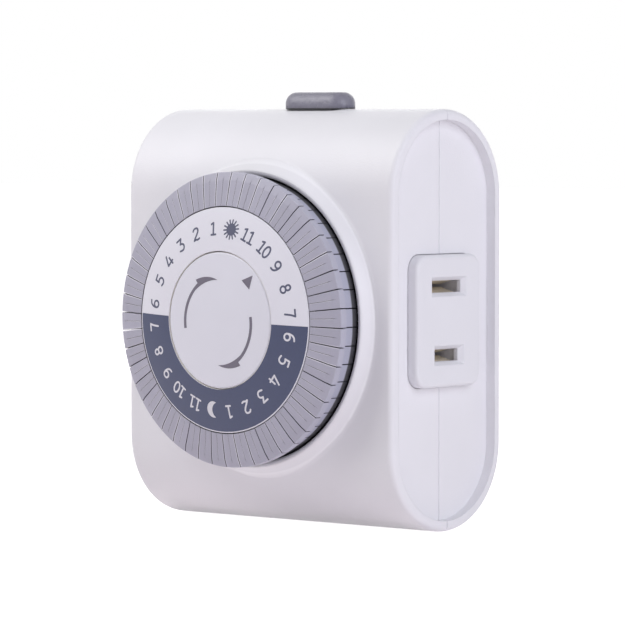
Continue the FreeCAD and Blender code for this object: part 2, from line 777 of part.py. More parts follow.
def switch_lever():
    """Rocking lever: a feeler for pushed-in trippers, a tail for the slider and a pusher."""
    tip_y = stem_back_y + feeler_reach
    arm_low = feeler_z - lever_arm_t / 2
    arm_high = feeler_z + lever_arm_t / 2
    arm_front = floor_back_y - well_floor_t + running_gap
    body = prism_yz([
        (arm_front, arm_low),
        (arm_front, arm_high),
        (lever_pivot_y - lever_hub_r, arm_high + lever_arm_t / 2),
        (lever_pivot_y - lever_hub_r, lever_pivot_z),
        (lever_pivot_y + lever_hub_r, lever_pivot_z),
        (lever_pivot_y + lever_hub_r, arm_high + lever_arm_t / 2),
        (leaf_y - lever_lash, pusher_z + pusher_half),
        (leaf_y - lever_lash, pusher_z - pusher_half),
        (lever_pivot_y + lever_arm_t, arm_low - lever_arm_t / 4),
    ], lever_x - lever_w / 2, lever_x + lever_w / 2)
    half_tip = lever_tip_w / 2
    feeler = prism_yz([
        (tip_y, feeler_z - half_tip),
        (tip_y, feeler_z + half_tip),
        (arm_front + half_tip, arm_high),
        (arm_front + half_tip, arm_low),
    ], lever_x - half_tip, lever_x + half_tip)
    hub = Part.makeCylinder(lever_hub_r, lever_w, V(lever_x - lever_w / 2, lever_pivot_y, lever_pivot_z),
                            V(1, 0, 0))
    tail = prism_yz([
        (lever_pivot_y - lever_arm_t, lever_pivot_z),
        (lever_pivot_y - half_tip, lever_tail_z),
        (lever_tail_y, lever_tail_z),
        (lever_tail_y, lever_tail_z - half_tip),
        (lever_pivot_y + half_tip, lever_pivot_z + lever_hub_r + half_tip),
        (lever_pivot_y + lever_arm_t, lever_pivot_z),
    ], lever_x - half_tip, lever_x + half_tip)
    bore = Part.makeCylinder(axle_r + bearing_clear, lever_w + 2,
                             V(lever_x - lever_w / 2 - 1, lever_pivot_y, lever_pivot_z), V(1, 0, 0))
    return fuse(body, feeler, hub, tail).cut(bore)


def lever_axle_span():
    """Length of the lever's axle, across both lugs."""
    return lever_w + 2 * running_gap + 2 * lug_t


def lever_axle():
    """Steel pin across the two lugs."""
    span = lever_axle_span()
    return Part.makeCylinder(axle_r, span, V(lever_x - span / 2, lever_pivot_y, lever_pivot_z), V(1, 0, 0))


def moving_leaf():
    """Springy contact leaf, with a clear hole round its rivet."""
    leaf = box(lever_x - leaf_w / 2, lever_x + leaf_w / 2, leaf_y, leaf_back_y,
               leaf_root_z - leaf_tail, leaf_top_z)
    rivet_z = leaf_root_z - rivet_drop
    return leaf.cut(rod(lever_x, rivet_z, rivet_r + rivet_clear, leaf_y - 1, leaf_back_y + 1))


def contact_button(face_y, sign):
    """Domed contact on a strip, standing out along sign."""
    points = [(0, 0), (contact_r, 0), (contact_r, contact_t - contact_bevel),
              (contact_r - contact_bevel, contact_t), (0, contact_t)]
    button = turned([(r, face_y + sign * y) for r, y in points])
    button.translate(V(lever_x, 0, contact_z))
    return button


def switched_bus():
    """Stamped strip from the fixed contact down to both hot outlet clips."""
    z0 = hot_bus_rise - blade_pitch / 2
    z1 = z0 + bus_w
    end_x = clip_root_x + bus_foot_len
    back_y = riser_y + strip_t
    bar = box(-end_x, end_x, riser_y, back_y, z0, z1)
    riser = box(lever_x - leaf_w / 2, lever_x + leaf_w / 2, riser_y, back_y, z0, contact_z + strip_top)
    foot_z = -blade_pitch / 2 - bus_foot_half
    foot = box(clip_root_x, end_x, clip_spine_y("hot") + clip_t, back_y, foot_z, z1)
    return fuse(bar, riser, foot, mirrored(foot))


def neutral_bus():
    """Stamped strip joining both neutral clips to the neutral plug blade."""
    z0 = blade_pitch / 2 - bus_foot_half
    z1 = blade_pitch / 2 + bus_foot_half
    end_x = clip_root_x + bus_foot_len
    bar_y = riser_y + strip_t + bus_space
    bar = box(-end_x, end_x, bar_y, bar_y + strip_t, z0, z1)
    foot = box(clip_root_x, end_x, clip_spine_y("neutral") + clip_t, bar_y + strip_t, z0, z1)
    tab_x = (blade_t - blade_pitch) / 2
    tab = box(tab_x, tab_x + strip_t, bar_y, -wall, -terminal_low, z1)
    return fuse(bar, foot, mirrored(foot), tab)


def line_terminal():
    """Stamped strip from the hot plug blade to the root of the moving leaf."""
    x0 = (blade_pitch + blade_t) / 2
    plate_y = leaf_back_y + seat_gap
    back = box(x0, x0 + strip_t, plate_y, -wall, -terminal_low, terminal_top)
    front = box(lever_x - leaf_w / 2, x0 + strip_t, plate_y, plate_y + strip_t, -terminal_low, leaf_root_z)
    return fuse(back, front)


def leaf_rivet():
    """Rivet that holds the leaf's root on the line terminal."""
    z = leaf_root_z - rivet_drop
    head_y = leaf_y - running_gap
    shank = rod(lever_x, z, rivet_r, head_y, leaf_back_y + seat_gap)
    head = rod(lever_x, z, rivet_head_r, head_y - rivet_head_t, head_y)
    return fuse(head, shank)


def clip_spine_y(which):
    """Front of a clip's spine, just behind the blade's rear edge."""
    return outlet_y + slot_length(which) / 2 - spine_lap


def slot_length(which):
    """Length of an outlet slot."""
    return neutral_slot_len if which == "neutral" else hot_slot_len


def outlet_face():
    """Right outlet insert: pad, flange behind the side panel and a chamber for the clips."""
    face_x = outlet_face_x
    flange_back = inner_x - outlet_flange_t
    chamber_in = inner_x - outlet_chamber
    pad = rounded_block(flange_back, face_x, outlet_y, 0, outlet_w, outlet_h, outlet_corner)
    rim_edges = [e for e in pad.Edges if e.BoundBox.XMin > face_x - 1e-4]
    pad = pad.makeFillet(outlet_round, rim_edges)
    flange = rounded_block(flange_back, inner_x, outlet_y, 0, outlet_w + 2 * outlet_flange,
                           outlet_h + 2 * outlet_flange, outlet_corner)
    half_y = neutral_slot_len / 2 + chamber_side
    half_z = blade_pitch / 2 + clip_half_h + chamber_end
    chamber = box(chamber_in, inner_x, outlet_y - half_y, outlet_y + half_y, -half_z, half_z)
    insert = fuse(pad, flange, chamber)
    cutters = []
    for which, z in (("neutral", blade_pitch / 2), ("hot", -blade_pitch / 2)):
        length = slot_length(which)
        cutters.append(box(chamber_in - 1, face_x - outlet_skin, outlet_y - length / 2 - cut_past,
                           clip_spine_y(which) + clip_t + cut_past, z - clip_half_h - clip_room,
                           z + clip_half_h + clip_room))
        cutters.append(box(face_x - outlet_skin - 1, face_x + 1, outlet_y - length / 2,
                           outlet_y + length / 2, z - slot_h / 2, z + slot_h / 2))
        cutters.append(funnel(face_x, z, length))
    return insert.cut(cutters)


def funnel(face_x, z, length):
    """Lead-in round a slot: a shallow pyramid that narrows inwards."""
    def loop(x, dy, dz):
        y0 = outlet_y - length / 2 - dy
        y1 = outlet_y + length / 2 + dy
        corners = [V(x, y0, z - slot_h / 2 - dz), V(x, y1, z - slot_h / 2 - dz),
                   V(x, y1, z + slot_h / 2 + dz), V(x, y0, z + slot_h / 2 + dz)]
        return Part.makePolygon(corners + corners[:1])
    inner = loop(face_x - funnel_deep, 0, 0)
    outer = loop(face_x, funnel_side, funnel_up)
    return Part.makeLoft([inner, outer], True, True)


def outlet_clip(which):
    """Right-hand clip: two springy leaves off a spine, pinched near the slot."""
    sign = 1 if which == "neutral" else -1
    z = sign * blade_pitch / 2
    bend_x = clip_root_x + clip_straight
    half_in = clip_half_h - clip_t
    line = [(clip_root_x, half_in), (bend_x, half_in), (clip_tip_x - clip_nose, clip_pinch / 2),
            (clip_tip_x, clip_mouth / 2)]
    outline = line + [(x, h + clip_t) for x, h in reversed(line)]
    width = slot_length(which) - clip_narrower
    y0 = outlet_y - width / 2
    spine_y = clip_spine_y(which)
    pieces = []
    for side in (-1, 1):
        pieces.append(prism_xz([(x, z + side * h) for x, h in outline], y0, y0 + width))
        low = z + side * (clip_half_h - clip_t / 2) - clip_t / 2
        pieces.append(box(clip_root_x, bend_x, y0 + width - clip_t, spine_y + clip_t, low, low + clip_t))
    spine = box(clip_root_x, bend_x, spine_y, spine_y + clip_t, z - clip_half_h, z + clip_half_h)
    return fuse(spine, *pieces)


def plug_blade(which):
    """Flat plug blade with a bevelled nose and a root inside the back wall."""
    height = hot_blade_h if which == "hot" else neutral_blade_h
    x = blade_pitch / 2 if which == "hot" else -blade_pitch / 2
    half = blade_t / 2
    high = height / 2
    bevel_y = blade_len - blade_nose
    blade = prism_xy([(x - half, -blade_root), (x + half, -blade_root), (x + half, bevel_y),
                      (x + blade_nose_half, blade_len), (x - blade_nose_half, blade_len),
                      (x - half, bevel_y)], -high, high)
    corner_y = blade_len - blade_corner
    corner_z = high - blade_corner
    side = prism_yz([(-blade_root, -high), (corner_y, -high), (blade_len, -corner_z), (blade_len, corner_z),
                     (corner_y, high), (-blade_root, high)], x - half, x + half)
    hole_at = V(x - half - 1, blade_len - blade_hole_in, 0)
    hole = Part.makeCylinder(blade_hole_r, blade_t + 2, hole_at, V(1, 0, 0))
    return blade.common(side).cut(hole)


def second_gear():
    """Wheel behind the well floor, with the pinion that drives the dial's gear ring."""
    (x, z), phase = train["second"]
    pinion_front = ring_gear_front_y + train_gap
    back_y = second_wheel_y + wheel_t
    wheel = gear(second_wheel_teeth, wheel_tip, root_depth, tooth_thinning, x, z, second_wheel_y,
                 back_y, phase)
    pinion = gear(dial_pinion_teeth, pinion_tip, root_depth, tooth_thinning, x, z, pinion_front,
                  second_wheel_y + wheel_t / 2, phase)
    return fuse(wheel, pinion).cut(rod(x, z, axle_r + bearing_clear, pinion_front - 1, back_y + 1))


def first_gear():
    """Large wheel turned by the motor, with a pinion for the second gear."""
    (x, z), phase = train["first"]
    back_y = first_wheel_y + wheel_t
    wheel = gear(first_wheel_teeth, wheel_tip, root_depth, tooth_thinning, x, z, first_wheel_y,
                 back_y, phase)
    pinion = gear(second_pinion_teeth, pinion_tip, root_depth, tooth_thinning, x, z, second_wheel_y,
                  first_wheel_y + wheel_t / 2, phase)
    return fuse(wheel, pinion).cut(rod(x, z, axle_r + bearing_clear, second_wheel_y - 1, back_y + 1))


def motor_pinion():
    """Output pinion and shaft of the geared motor."""
    (x, z), phase = train["motor"]
    front_end = first_wheel_y - train_gap / 2
    pinion = gear(motor_pinion_teeth, pinion_tip, root_depth, tooth_thinning, x, z, front_end,
                  gear_plate_y - seat_gap, phase)
    shaft = rod(x, z, motor_shaft_r, front_end - train_gap, motor_can_y + motor_shaft_in)
    return fuse(pinion, shaft)


def gear_axles():
    """Two fixed steel pins that carry the gears."""
    second = train["second"][0]
    first = train["first"][0]
    back = gear_plate_y + gear_plate_t
    long_pin = rod(second[0], second[1], axle_r, ring_gear_front_y, back)
    short_pin = rod(first[0], first[1], axle_r, floor_back_y - axle_seat, back)
    return Part.makeCompound([long_pin, short_pin])


def gear_plate():
    """Steel plate behind the gears that holds their axles and the motor."""
    y0 = gear_plate_y
    y1 = gear_plate_y + gear_plate_t
    main = box(plate_left, plate_step_x, y0, y1, plate_bottom, plate_top)
    wing = box(plate_step_x - 1, plate_right, y0, y1, plate_bottom, plate_step_z)
    plate = fuse(main, wing)
    upright = [e for e in plate.Edges if abs(e.tangentAt(e.FirstParameter).y) > 0.99
               and abs(e.CenterOfMass.x - plate_step_x) > 0.5]
    plate = plate.makeFillet(plate_round, upright)
    holes = [rod(x, z, axle_r, y0 - 1, y1 + 1) for x, z in (train["second"][0], train["first"][0])]
    holes.append(rod(motor_x, motor_z, plate_shaft_hole_r, y0 - 1, y1 + 1))
    holes += [rod(x, z, small_screw_r, y0 - 1, y1 + 1) for x, z in motor_ear_spots]
    holes += [rod(x, z, small_screw_r + small_slack, y0 - 1, y1 + 1) for x, z in plate_screw_spots]
    return plate.cut(holes)


def motor_cover():
    """Front plate of the motor, with two screw ears."""
    y0 = motor_cover_y
    y1 = motor_cover_y + motor_cover_t
    cover = rod(motor_x, motor_z, motor_r, y0, y1)
    web = box(motor_x - motor_ear_r, motor_x + motor_ear_r, y0, y1, motor_z - motor_ear_span,
              motor_z + motor_ear_span)
    ears = [rod(x, z, motor_ear_r, y0, y1) for x, z in motor_ear_spots]
    cover = fuse(cover, web, *ears)
    holes = [rod(x, z, small_screw_r + small_slack, y0 - 1, y1 + 1) for x, z in motor_ear_spots]
    holes.append(rod(motor_x, motor_z, motor_shaft_r + bearing_clear, y0 - 1, y1 + 1))
    return cover.cut(holes)


def motor_can():
    """Drawn steel cup of the motor."""
    y0 = motor_can_y
    y1 = motor_can_y + motor_len
    cup = rod(motor_x, motor_z, motor_r, y0, y1)
    low_edge = [e for e in cup.Edges if e.BoundBox.YMin > y1 - 1e-4]
    cup = cup.makeChamfer(motor_bevel, low_edge)
    return cup.cut(rod(motor_x, motor_z, motor_r - motor_skin, y0 - 1, y1 - motor_skin))


def motor_bobbin():
    """Flanged bobbin inside the can."""
    y1 = motor_can_y + motor_len - motor_skin
    y0 = y1 - coil_t - 2 * bobbin_flange_t
    flange_r = motor_r - motor_skin - running_gap
    core = rod(motor_x, motor_z, coil_core_r, y0, y1)
    low = rod(motor_x, motor_z, flange_r, y0, y0 + bobbin_flange_t)
    high = rod(motor_x, motor_z, flange_r, y1 - bobbin_flange_t, y1)
    return fuse(core, low, high).cut(rod(motor_x, motor_z, coil_core_r - bobbin_wall, y0 - 1, y1 + 1))


def motor_coil():
    """Copper winding on the bobbin, as one ring."""
    y1 = motor_can_y + motor_len - motor_skin - bobbin_flange_t
    y0 = y1 - coil_t
    outer = rod(motor_x, motor_z, motor_r - motor_skin - coil_set_in, y0, y1)
    return outer.cut(rod(motor_x, motor_z, coil_core_r, y0 - 1, y1 + 1))


def screw(x, z, seat_y, head_r, head_t, shank_r, length):
    """Pan-head screw put in from the back: its head behind seat_y, its shank running forward."""
    top_y = seat_y + head_t
    head = rod(x, z, head_r, seat_y, top_y)
    head = head.makeChamfer(head_t * 0.35, [e for e in head.Edges if e.BoundBox.YMin > top_y - 1e-4])
    body = fuse(head, rod(x, z, shank_r, seat_y - length, seat_y))
    slot_y = top_y - head_t / 2
    long_half = head_r * 0.62
    thin_half = head_r * 0.14
    cross = [box(x - long_half, x + long_half, slot_y, top_y + 1, z - thin_half, z + thin_half),
             box(x - thin_half, x + thin_half, slot_y, top_y + 1, z - long_half, z + long_half)]
    return body.cut(cross)


def housing_screws():
    """Four long screws put in from the back."""
    seat_y = -screw_sink - screw_head_t
    return Part.makeCompound([screw(x, z, seat_y, screw_head_r, screw_head_t, screw_r, screw_len)
                              for x, z in screw_spots])


def plate_screws():
    """Three screws that hold the gear plate on its posts."""
    seat_y = gear_plate_y + gear_plate_t
    return Part.makeCompound([screw(x, z, seat_y, small_head_r, small_head_t, small_screw_r,
                                    small_screw_len) for x, z in plate_screw_spots])


def motor_screws():
    """Two screws through the motor's ears into the gear plate."""
    seat_y = motor_cover_y + motor_cover_t
    return Part.makeCompound([screw(x, z, seat_y, small_head_r, small_head_t, small_screw_r,
                                    gear_plate_t + motor_cover_t) for x, z in motor_ear_spots])


def build():
    """Every node's name and shape."""
    shells = shell()
    right_face = outlet_face()
    neutral_clip = outlet_clip("neutral")
    hot_clip = outlet_clip("hot")
    parts = {
        "front_housing": front_housing(shells),
        "rear_housing": rear_housing(shells),
        "dial_carrier": dial_carrier(),
        "number_disc": number_disc(),
        "centre_cap": centre_cap(),
        "override_slider": override_slider(),
        "right_outlet_face": right_face,
        "left_outlet_face": mirrored(right_face),
        "right_neutral_clip": neutral_clip,
        "left_neutral_clip": mirrored(neutral_clip),
        "right_hot_clip": hot_clip,
        "left_hot_clip": mirrored(hot_clip),
        "neutral_plug_blade": plug_blade("neutral"),
        "hot_plug_blade": plug_blade("hot"),
        "neutral_bus": neutral_bus(),
        "switched_bus": switched_bus(),
        "line_terminal": line_terminal(),
        "leaf_rivet": leaf_rivet(),
        "moving_leaf": moving_leaf(),
        "moving_contact": contact_button(leaf_back_y, 1),
        "fixed_contact": contact_button(riser_y, -1),
        "switch_lever": switch_lever(),
        "lever_axle": lever_axle(),
        "second_gear": second_gear(),
        "first_gear": first_gear(),
        "motor_pinion": motor_pinion(),
        "gear_axles": gear_axles(),
        "gear_plate": gear_plate(),
        "motor_cover": motor_cover(),
        "motor_can": motor_can(),
        "motor_bobbin": motor_bobbin(),
        "motor_coil": motor_coil(),
        "housing_screws": housing_screws(),
        "plate_screws": plate_screws(),
        "motor_screws": motor_screws(),
    }
    for hour in range(tripper_count // 2):
        pair = [tripper(2 * hour), tripper(2 * hour + 1)]
        parts["trippers_hour_%02d" % (hour + 1)] = Part.makeCompound(pair)
    return parts


def main():
    """Write one STEP file per node and print the joints' ratios."""
    os.makedirs("parts", exist_ok=True)
    for name, shape in build().items():
        valid = shape.isValid()
        print("%-22s solids %d valid %s volume %.1f" % (name, len(shape.Solids), valid, shape.Volume))
        shape.exportStep("parts/%s.step" % name)
    print("lever swing %.5f rad, leaf swing %.5f rad, slider travel %.2f mm" %
          (lever_swing, leaf_swing, slider_travel))
    print("gear centres", train)
    print("lever x %.3f pivot %.2f %.2f leaf root %.2f %.2f" %
          (lever_x, lever_pivot_y, lever_pivot_z, leaf_y, leaf_root_z))


main()
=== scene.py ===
"""Looks of the plug-in mechanical timer: materials, dial print, cap marks, stage and camera.

Same frame as the solid model, in metres: origin at the centre of the flat back face, +X to the
right of someone who faces the dial, +Y back into the wall and +Z up. Angles round the dial run
clockwise from the top, as seen from the front. Print is drawn in millimetres and then scaled.
"""
import bpy
import math
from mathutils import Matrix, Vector
from mathutils.bvhtree import BVHTree
from mathutils.geometry import delaunay_2d_cdt


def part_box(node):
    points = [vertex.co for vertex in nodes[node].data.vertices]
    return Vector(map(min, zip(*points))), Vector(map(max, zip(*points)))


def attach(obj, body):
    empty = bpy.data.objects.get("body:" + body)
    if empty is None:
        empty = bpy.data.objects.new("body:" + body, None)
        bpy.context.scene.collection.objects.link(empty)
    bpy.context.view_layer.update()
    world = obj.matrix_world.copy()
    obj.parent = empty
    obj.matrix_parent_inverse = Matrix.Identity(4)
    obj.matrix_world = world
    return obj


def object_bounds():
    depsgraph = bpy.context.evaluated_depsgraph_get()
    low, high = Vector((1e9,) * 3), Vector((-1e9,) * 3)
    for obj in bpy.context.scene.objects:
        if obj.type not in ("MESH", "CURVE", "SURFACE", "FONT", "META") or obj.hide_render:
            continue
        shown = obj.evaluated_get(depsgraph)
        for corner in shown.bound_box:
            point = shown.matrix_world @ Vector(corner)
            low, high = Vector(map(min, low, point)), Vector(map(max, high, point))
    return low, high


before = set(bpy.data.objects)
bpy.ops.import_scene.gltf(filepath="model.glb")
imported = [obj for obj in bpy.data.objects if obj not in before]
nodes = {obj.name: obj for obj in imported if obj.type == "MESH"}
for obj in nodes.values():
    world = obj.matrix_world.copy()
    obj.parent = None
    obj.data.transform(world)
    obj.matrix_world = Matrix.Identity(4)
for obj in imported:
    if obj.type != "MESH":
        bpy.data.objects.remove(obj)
cad_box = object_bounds()
mm = 0.001

# Camera, at the photograph's viewing angle: degrees, metres and pixels
camera_azimuth = 41.15
camera_pitch = 2.62
camera_place = (529.53 * mm, -622.05 * mm, 37.38 * mm)
camera_reach = (0.05, 20.0)
picture_px = 625
focal_px = 4245.0
sensor_width = 36.0

# Lights: where each stands, its size, power and colour
key_from = (-0.43, -0.55, 0.72)
key_distance = 0.32
key_size = 0.22
key_watts = 0.585
key_colour = (1.0, 0.995, 1.0)
side_from = (0.90, -0.12, 0.38)
side_distance = 0.52
side_size = 0.40
side_watts = 1.36
side_colour = (0.97, 0.985, 1.07)
back_from = (-0.50, 0.84, 0.14)
back_distance = 0.60
back_size = 0.40
back_watts = 0.55
back_colour = (1.0, 1.0, 1.0)

# Surroundings and floor
sky_level = 0.20
sky_colour = (1.0, 0.985, 1.02)
floor_size = 6.0
floor_colour = (0.84, 0.78, 0.80)
floor_rough = 0.9
floor_glow = 0.10
floor_white = 0.80

# Shaders: samples for soft edges and gaps, slow tone changes of plastics, drawing-out of brushed lines
shader_samples = 6
moulded_cloud_mm = 14.0
moulded_mottle = 0.012
brush_stretch = 0.04

# Housing plastic, in millimetres: its edges are softest near the ring round the dial, with painted shade
# on the ring's inner flank and a painted light band along its foot
housing_white = (0.845, 0.838, 0.874)
edge_mm = 0.22
ring_edge_mm = 0.6
ring_middle_r = 28.6
ring_reach = (2.8, 3.6)
ring_flank_r = (27.7, 28.02)
ring_flank_shade = (0.78, 0.77, 0.805)
ring_foot_from_r = (28.85, 29.05)
ring_foot_to_r = (29.15, 30.05)
ring_foot_light = (0.915, 0.91, 0.945)

# The narrow gap between the cap and the disc, in millimetres, whose shaded walls get painted light
cap_gap_from_r = (12.60, 12.62)
cap_gap_to_r = (12.88, 12.90)
cap_gap_deep_y = (-42.28, -42.15)
cap_gap_painted_light = (1.0, 0.98, 0.95)

# Slider plastic, in millimetres, with a painted contact shadow along its foot
slider_grey = (0.175, 0.168, 0.222)
slider_foot_z = (39.22, 39.36)
slider_contact_shadow = (0.03, 0.03, 0.035)
slider_edge_mm = 1.5

# Pins: how they stand round the dial, in degrees, and where their sides and roots lie, in millimetres
pin_count = 48
pins_turned = 1.5
pin_face_r = (25.7, 26.1)
pin_body_r = (26.2, 26.3)
pin_body_y = (-38.3, -38.2)
pin_head_r = (27.28, 27.36)
pin_root_y = (-35.35, -35.1)
pin_gap_reach = 3.0
streak_r = 20.0
streak_stretch = 0.06

# Painted light lines on the pins: how far from the middle, as shares of a pin's width
groove_light_part = (0.026, 0.05)
boundary_highlight_part = (0.422, 0.436)

# Pin plastic, with painted light in its middle grooves and painted highlights along its edges, lighter
# painted-light tones on the sides and heads, and painted shade at the root and in deep gaps
tripper_grey = (0.385, 0.376, 0.462)
tripper_painted_highlight = (0.72, 0.71, 0.79)
tripper_body_light = (0.420, 0.425, 0.525)
tripper_head_light = (0.435, 0.43, 0.52)
tripper_root_shade = (0.055, 0.054, 0.058)
tripper_gap_shade = (0.07, 0.07, 0.085)

# Inks: colours, and how far they lie over and under the surface, in millimetres
slate_ink = (0.092, 0.098, 0.158)
night_ink = (0.052, 0.064, 0.132)
white_ink = (0.74, 0.73, 0.78)
grey_ink = (0.165, 0.150, 0.195)
ink_lift = 0.02
top_ink_lift = 0.035
ink_sink = 0.012

# Dial print, in millimetres and degrees
print_turned = 8.4
label_r = 17.04
label_step = 15.0
stroke_w = 0.36
digit_half = 1.10
day_starts = 272.0
night_starts = 91.6
night_inset_in = 0.21
night_inset_out = 0.22
sun_r = 1.13
sun_rays = 14
ray_tip = 1.92
ray_w = 0.29
moon_r = 1.54
moon_bite_r = 1.51
moon_bite_shift = 1.24
moon_place = (-0.5, -0.3)

# Cap marks, in millimetres and degrees
marks_centre = (-0.2, -0.4)
arrow_centre = (0.5, 0.05)
arrow_r = 8.74
arrow_w = 0.6
arrow_start = -98.7
arrow_notch = -38.0
arrow_back_r = 9.82
arrow_tip_r = 7.87
arrow_tip = -4.1
arrow_taper_from = -46.0
pointer_corners = ((8.31, 8.51), (5.72, 7.57), (7.55, 5.92))


def polar(radius, clockwise):
    """Point (x, z) at a radius and a clockwise angle from the top, in degrees."""
    turn = math.radians(clockwise)
    return (radius * math.sin(turn), radius * math.cos(turn))


def line(*points):
    """Straight stroke through its points."""
    return list(points)


def smooth(*points, steps=6):
    """Smooth stroke through its points, as a Catmull-Rom curve."""
    padded = [points[0]] + list(points) + [points[-1]]
    path = []
    for a, b, c, d in zip(padded, padded[1:], padded[2:], padded[3:]):
        for step in range(steps):
            t = step / steps
            path.append(tuple(
                0.5 * (2 * q + (r - p) * t + (2 * p - 5 * q + 4 * r - s) * t * t
                       + (3 * q - p - 3 * r + s) * t ** 3)
                for p, q, r, s in zip(a, b, c, d)))
    path.append(points[-1])
    return path


def oval(cx, cz, rx, rz, start=0.0, sweep=360.0, steps=28):
    """Stroke along an oval, from a clockwise start angle."""
    path = []
    for step in range(steps + 1):
        x, z = polar(1.0, start + sweep * step / steps)
        path.append((cx + rx * x, cz + rz * z))
    return path


def ring(cx, cz, rx, rz):
    """A closed oval as two strokes that lap each other."""
    return [oval(cx, cz, rx, rz, -4, 188), oval(cx, cz, rx, rz, 176, 188)]


def shifted(strokes, dx):
    """The same strokes moved sideways."""
    return [[(x + dx, z) for x, z in stroke] for stroke in strokes]


def turned_round(strokes):
    """The same strokes turned half round."""
    return [[(-x, -z) for x, z in stroke] for stroke in strokes]


def digit(name):
    """Strokes of one digit, in millimetres about its middle."""
    top = digit_half
    low = -digit_half
    if name == "0":
        return ring(0, 0, 0.62, top)
    if name == "1":
        return [line((-0.5, 0.86), (0, top)), line((0, top), (0, low)), line((-0.52, low), (0.55, low))]
    if name == "2":
        return [smooth((-0.68, 0.72), (-0.42, 1.03), (0.02, top), (0.42, 0.98), (0.56, 0.62), (0.42, 0.25),
                       (0.0, -0.25), (-0.48, -0.72), (-0.78, low)),
                smooth((-0.78, low), (-0.3, low + 0.08), (0.15, low - 0.04), (0.6, low + 0.08))]
    if name == "3":
        return [line((-0.7, top), (0.5, top)), line((0.5, top), (-0.1, 0.2)),
                smooth((-0.1, 0.2), (0.3, 0.1), (0.62, -0.22), (0.64, -0.62), (0.36, -1.0), (-0.08, low),
                       (-0.68, low + 0.18))]
    if name == "4":
        return [line((0.08, top), (-0.68, -0.62)), line((-0.68, -0.62), (0.9, -0.62)),
                line((0.52, 0.34), (0.52, low))]
    if name == "5":
        return [line((0.74, top), (-0.3, top)), line((-0.3, top), (-0.36, 0.14)),
                smooth((-0.36, 0.14), (0.1, 0.24), (0.56, 0.06), (0.74, -0.42), (0.54, -0.9), (0.08, low),
                       (-0.56, low + 0.2))]
    if name == "6":
        return turned_round(digit("9"))
    if name == "7":
        return [line((-0.5, top), (0.74, top)), smooth((0.74, top), (0.42, 0.2), (0.16, low))]
    if name == "8":
        return ring(0.02, 0.56, 0.48, 0.54) + ring(0, -0.52, 0.62, 0.58)
    return ring(-0.06, 0.48, 0.62, 0.62) + [smooth((0.56, 0.5), (0.55, 0.0), (0.34, -0.62), (-0.02, -0.98),
                                                  (-0.56, low))]


def label(text):
    """Strokes of an hour number."""
    if text == "10":
        return shifted(digit("1"), -0.68) + shifted(digit("0"), 0.82)
    if text == "11":
        return shifted(digit("1"), -0.84) + shifted(digit("1"), 0.72)
    nudge = {"4": 0.08, "5": 0.16, "6": 0.08, "7": 0.1, "9": -0.06}
    return shifted(digit(text), nudge.get(text, 0.0))


def ribbon(path, width):
    """Outline of a stroke with round ends, counter-clockwise."""
    half = width / 2
    left = []
    right = []
    for i, (x, z) in enumerate(path):
        before = path[max(i - 1, 0)]
        after = path[min(i + 1, len(path) - 1)]
        dx, dz = after[0] - before[0], after[1] - before[1]
        size = math.hypot(dx, dz)
        dx, dz = dx / size, dz / size
        left.append((x - dz * half, z + dx * half))
        right.append((x + dz * half, z - dx * half))
    outline = left + round_end(path[-1], left[-1], half) + right[::-1] + round_end(path[0], right[0], half)
    return counter_clockwise(outline)


def round_end(centre, edge, radius, steps=6):
    """Points of the half circle past a stroke's end, clockwise from one edge."""
    first = math.atan2(edge[1] - centre[1], edge[0] - centre[0])
    return [(centre[0] + radius * math.cos(first - math.pi * step / steps),
             centre[1] + radius * math.sin(first - math.pi * step / steps)) for step in range(1, steps)]


def counter_clockwise(outline):
    """The outline, reversed if it runs clockwise."""
    area = sum(a[0] * b[1] - b[0] * a[1] for a, b in zip(outline, outline[1:] + outline[:1]))
    return outline if area > 0 else outline[::-1]


def joined(outlines):
    """Points and faces of the area that the outlines cover together."""
    points = []
    loops = []
    for outline in outlines:
        loops.append(list(range(len(points), len(points) + len(outline))))
        points += [Vector(p) for p in outline]
    corners, _, triangles, _, _, sources = delaunay_2d_cdt(points, [], loops, 0, 1e-5)
    faces = [face for face, source in zip(triangles, sources) if source]
    used = sorted({i for face in faces for i in face})
    place = {old: new for new, old in enumerate(used)}
    return [tuple(corners[i]) for i in used], [[place[i] for i in face] for face in faces]


def on_dial(points, clockwise, radius):
    """Points of a label's own upright frame, moved to its place on the dial."""
    turn = math.radians(clockwise)
    s, c = math.sin(turn), math.cos(turn)
    return [((radius + z) * s + x * c, (radius + z) * c - x * s) for x, z in points]


def front_of(node):
    """Function that gives the depth of a node's front surface at (x, z), in metres."""
    mesh = nodes[node].data
    tree = BVHTree.FromPolygons([v.co for v in mesh.vertices], [list(p.vertices) for p in mesh.polygons])
    before_front = cad_box[0].y - 10 * mm

    def depth(x, z):
        return tree.ray_cast(Vector((x, before_front, z)), Vector((0, 1, 0)))[0].y
    return depth


def lay_ink(name, points, faces, depth, lift, material, body):
    """Thin closed layer of ink that follows the surface under it."""
    count = len(points)
    top = []
    low = []
    for x, z in points:
        y = depth(x * mm, z * mm)
        top.append((x * mm, y - lift * mm, z * mm))
        low.append((x * mm, y + ink_sink * mm, z * mm))
    sides = {}
    for face in faces:
        for a, b in zip(face, face[1:] + face[:1]):
            sides[(a, b)] = (b, a) not in sides
            if (b, a) in sides:
                sides[(b, a)] = False
    walls = [[b, a, a + count, b + count] for (a, b), open_side in sides.items() if open_side]
    lower = [[i + count for i in reversed(face)] for face in faces]
    mesh = bpy.data.meshes.new(name)
    mesh.from_pydata(top + low, [], faces + lower + walls)
    mesh.update()
    mesh.materials.append(material)
    piece = bpy.data.objects.new(name, mesh)
    bpy.context.scene.collection.objects.link(piece)
    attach(piece, body)


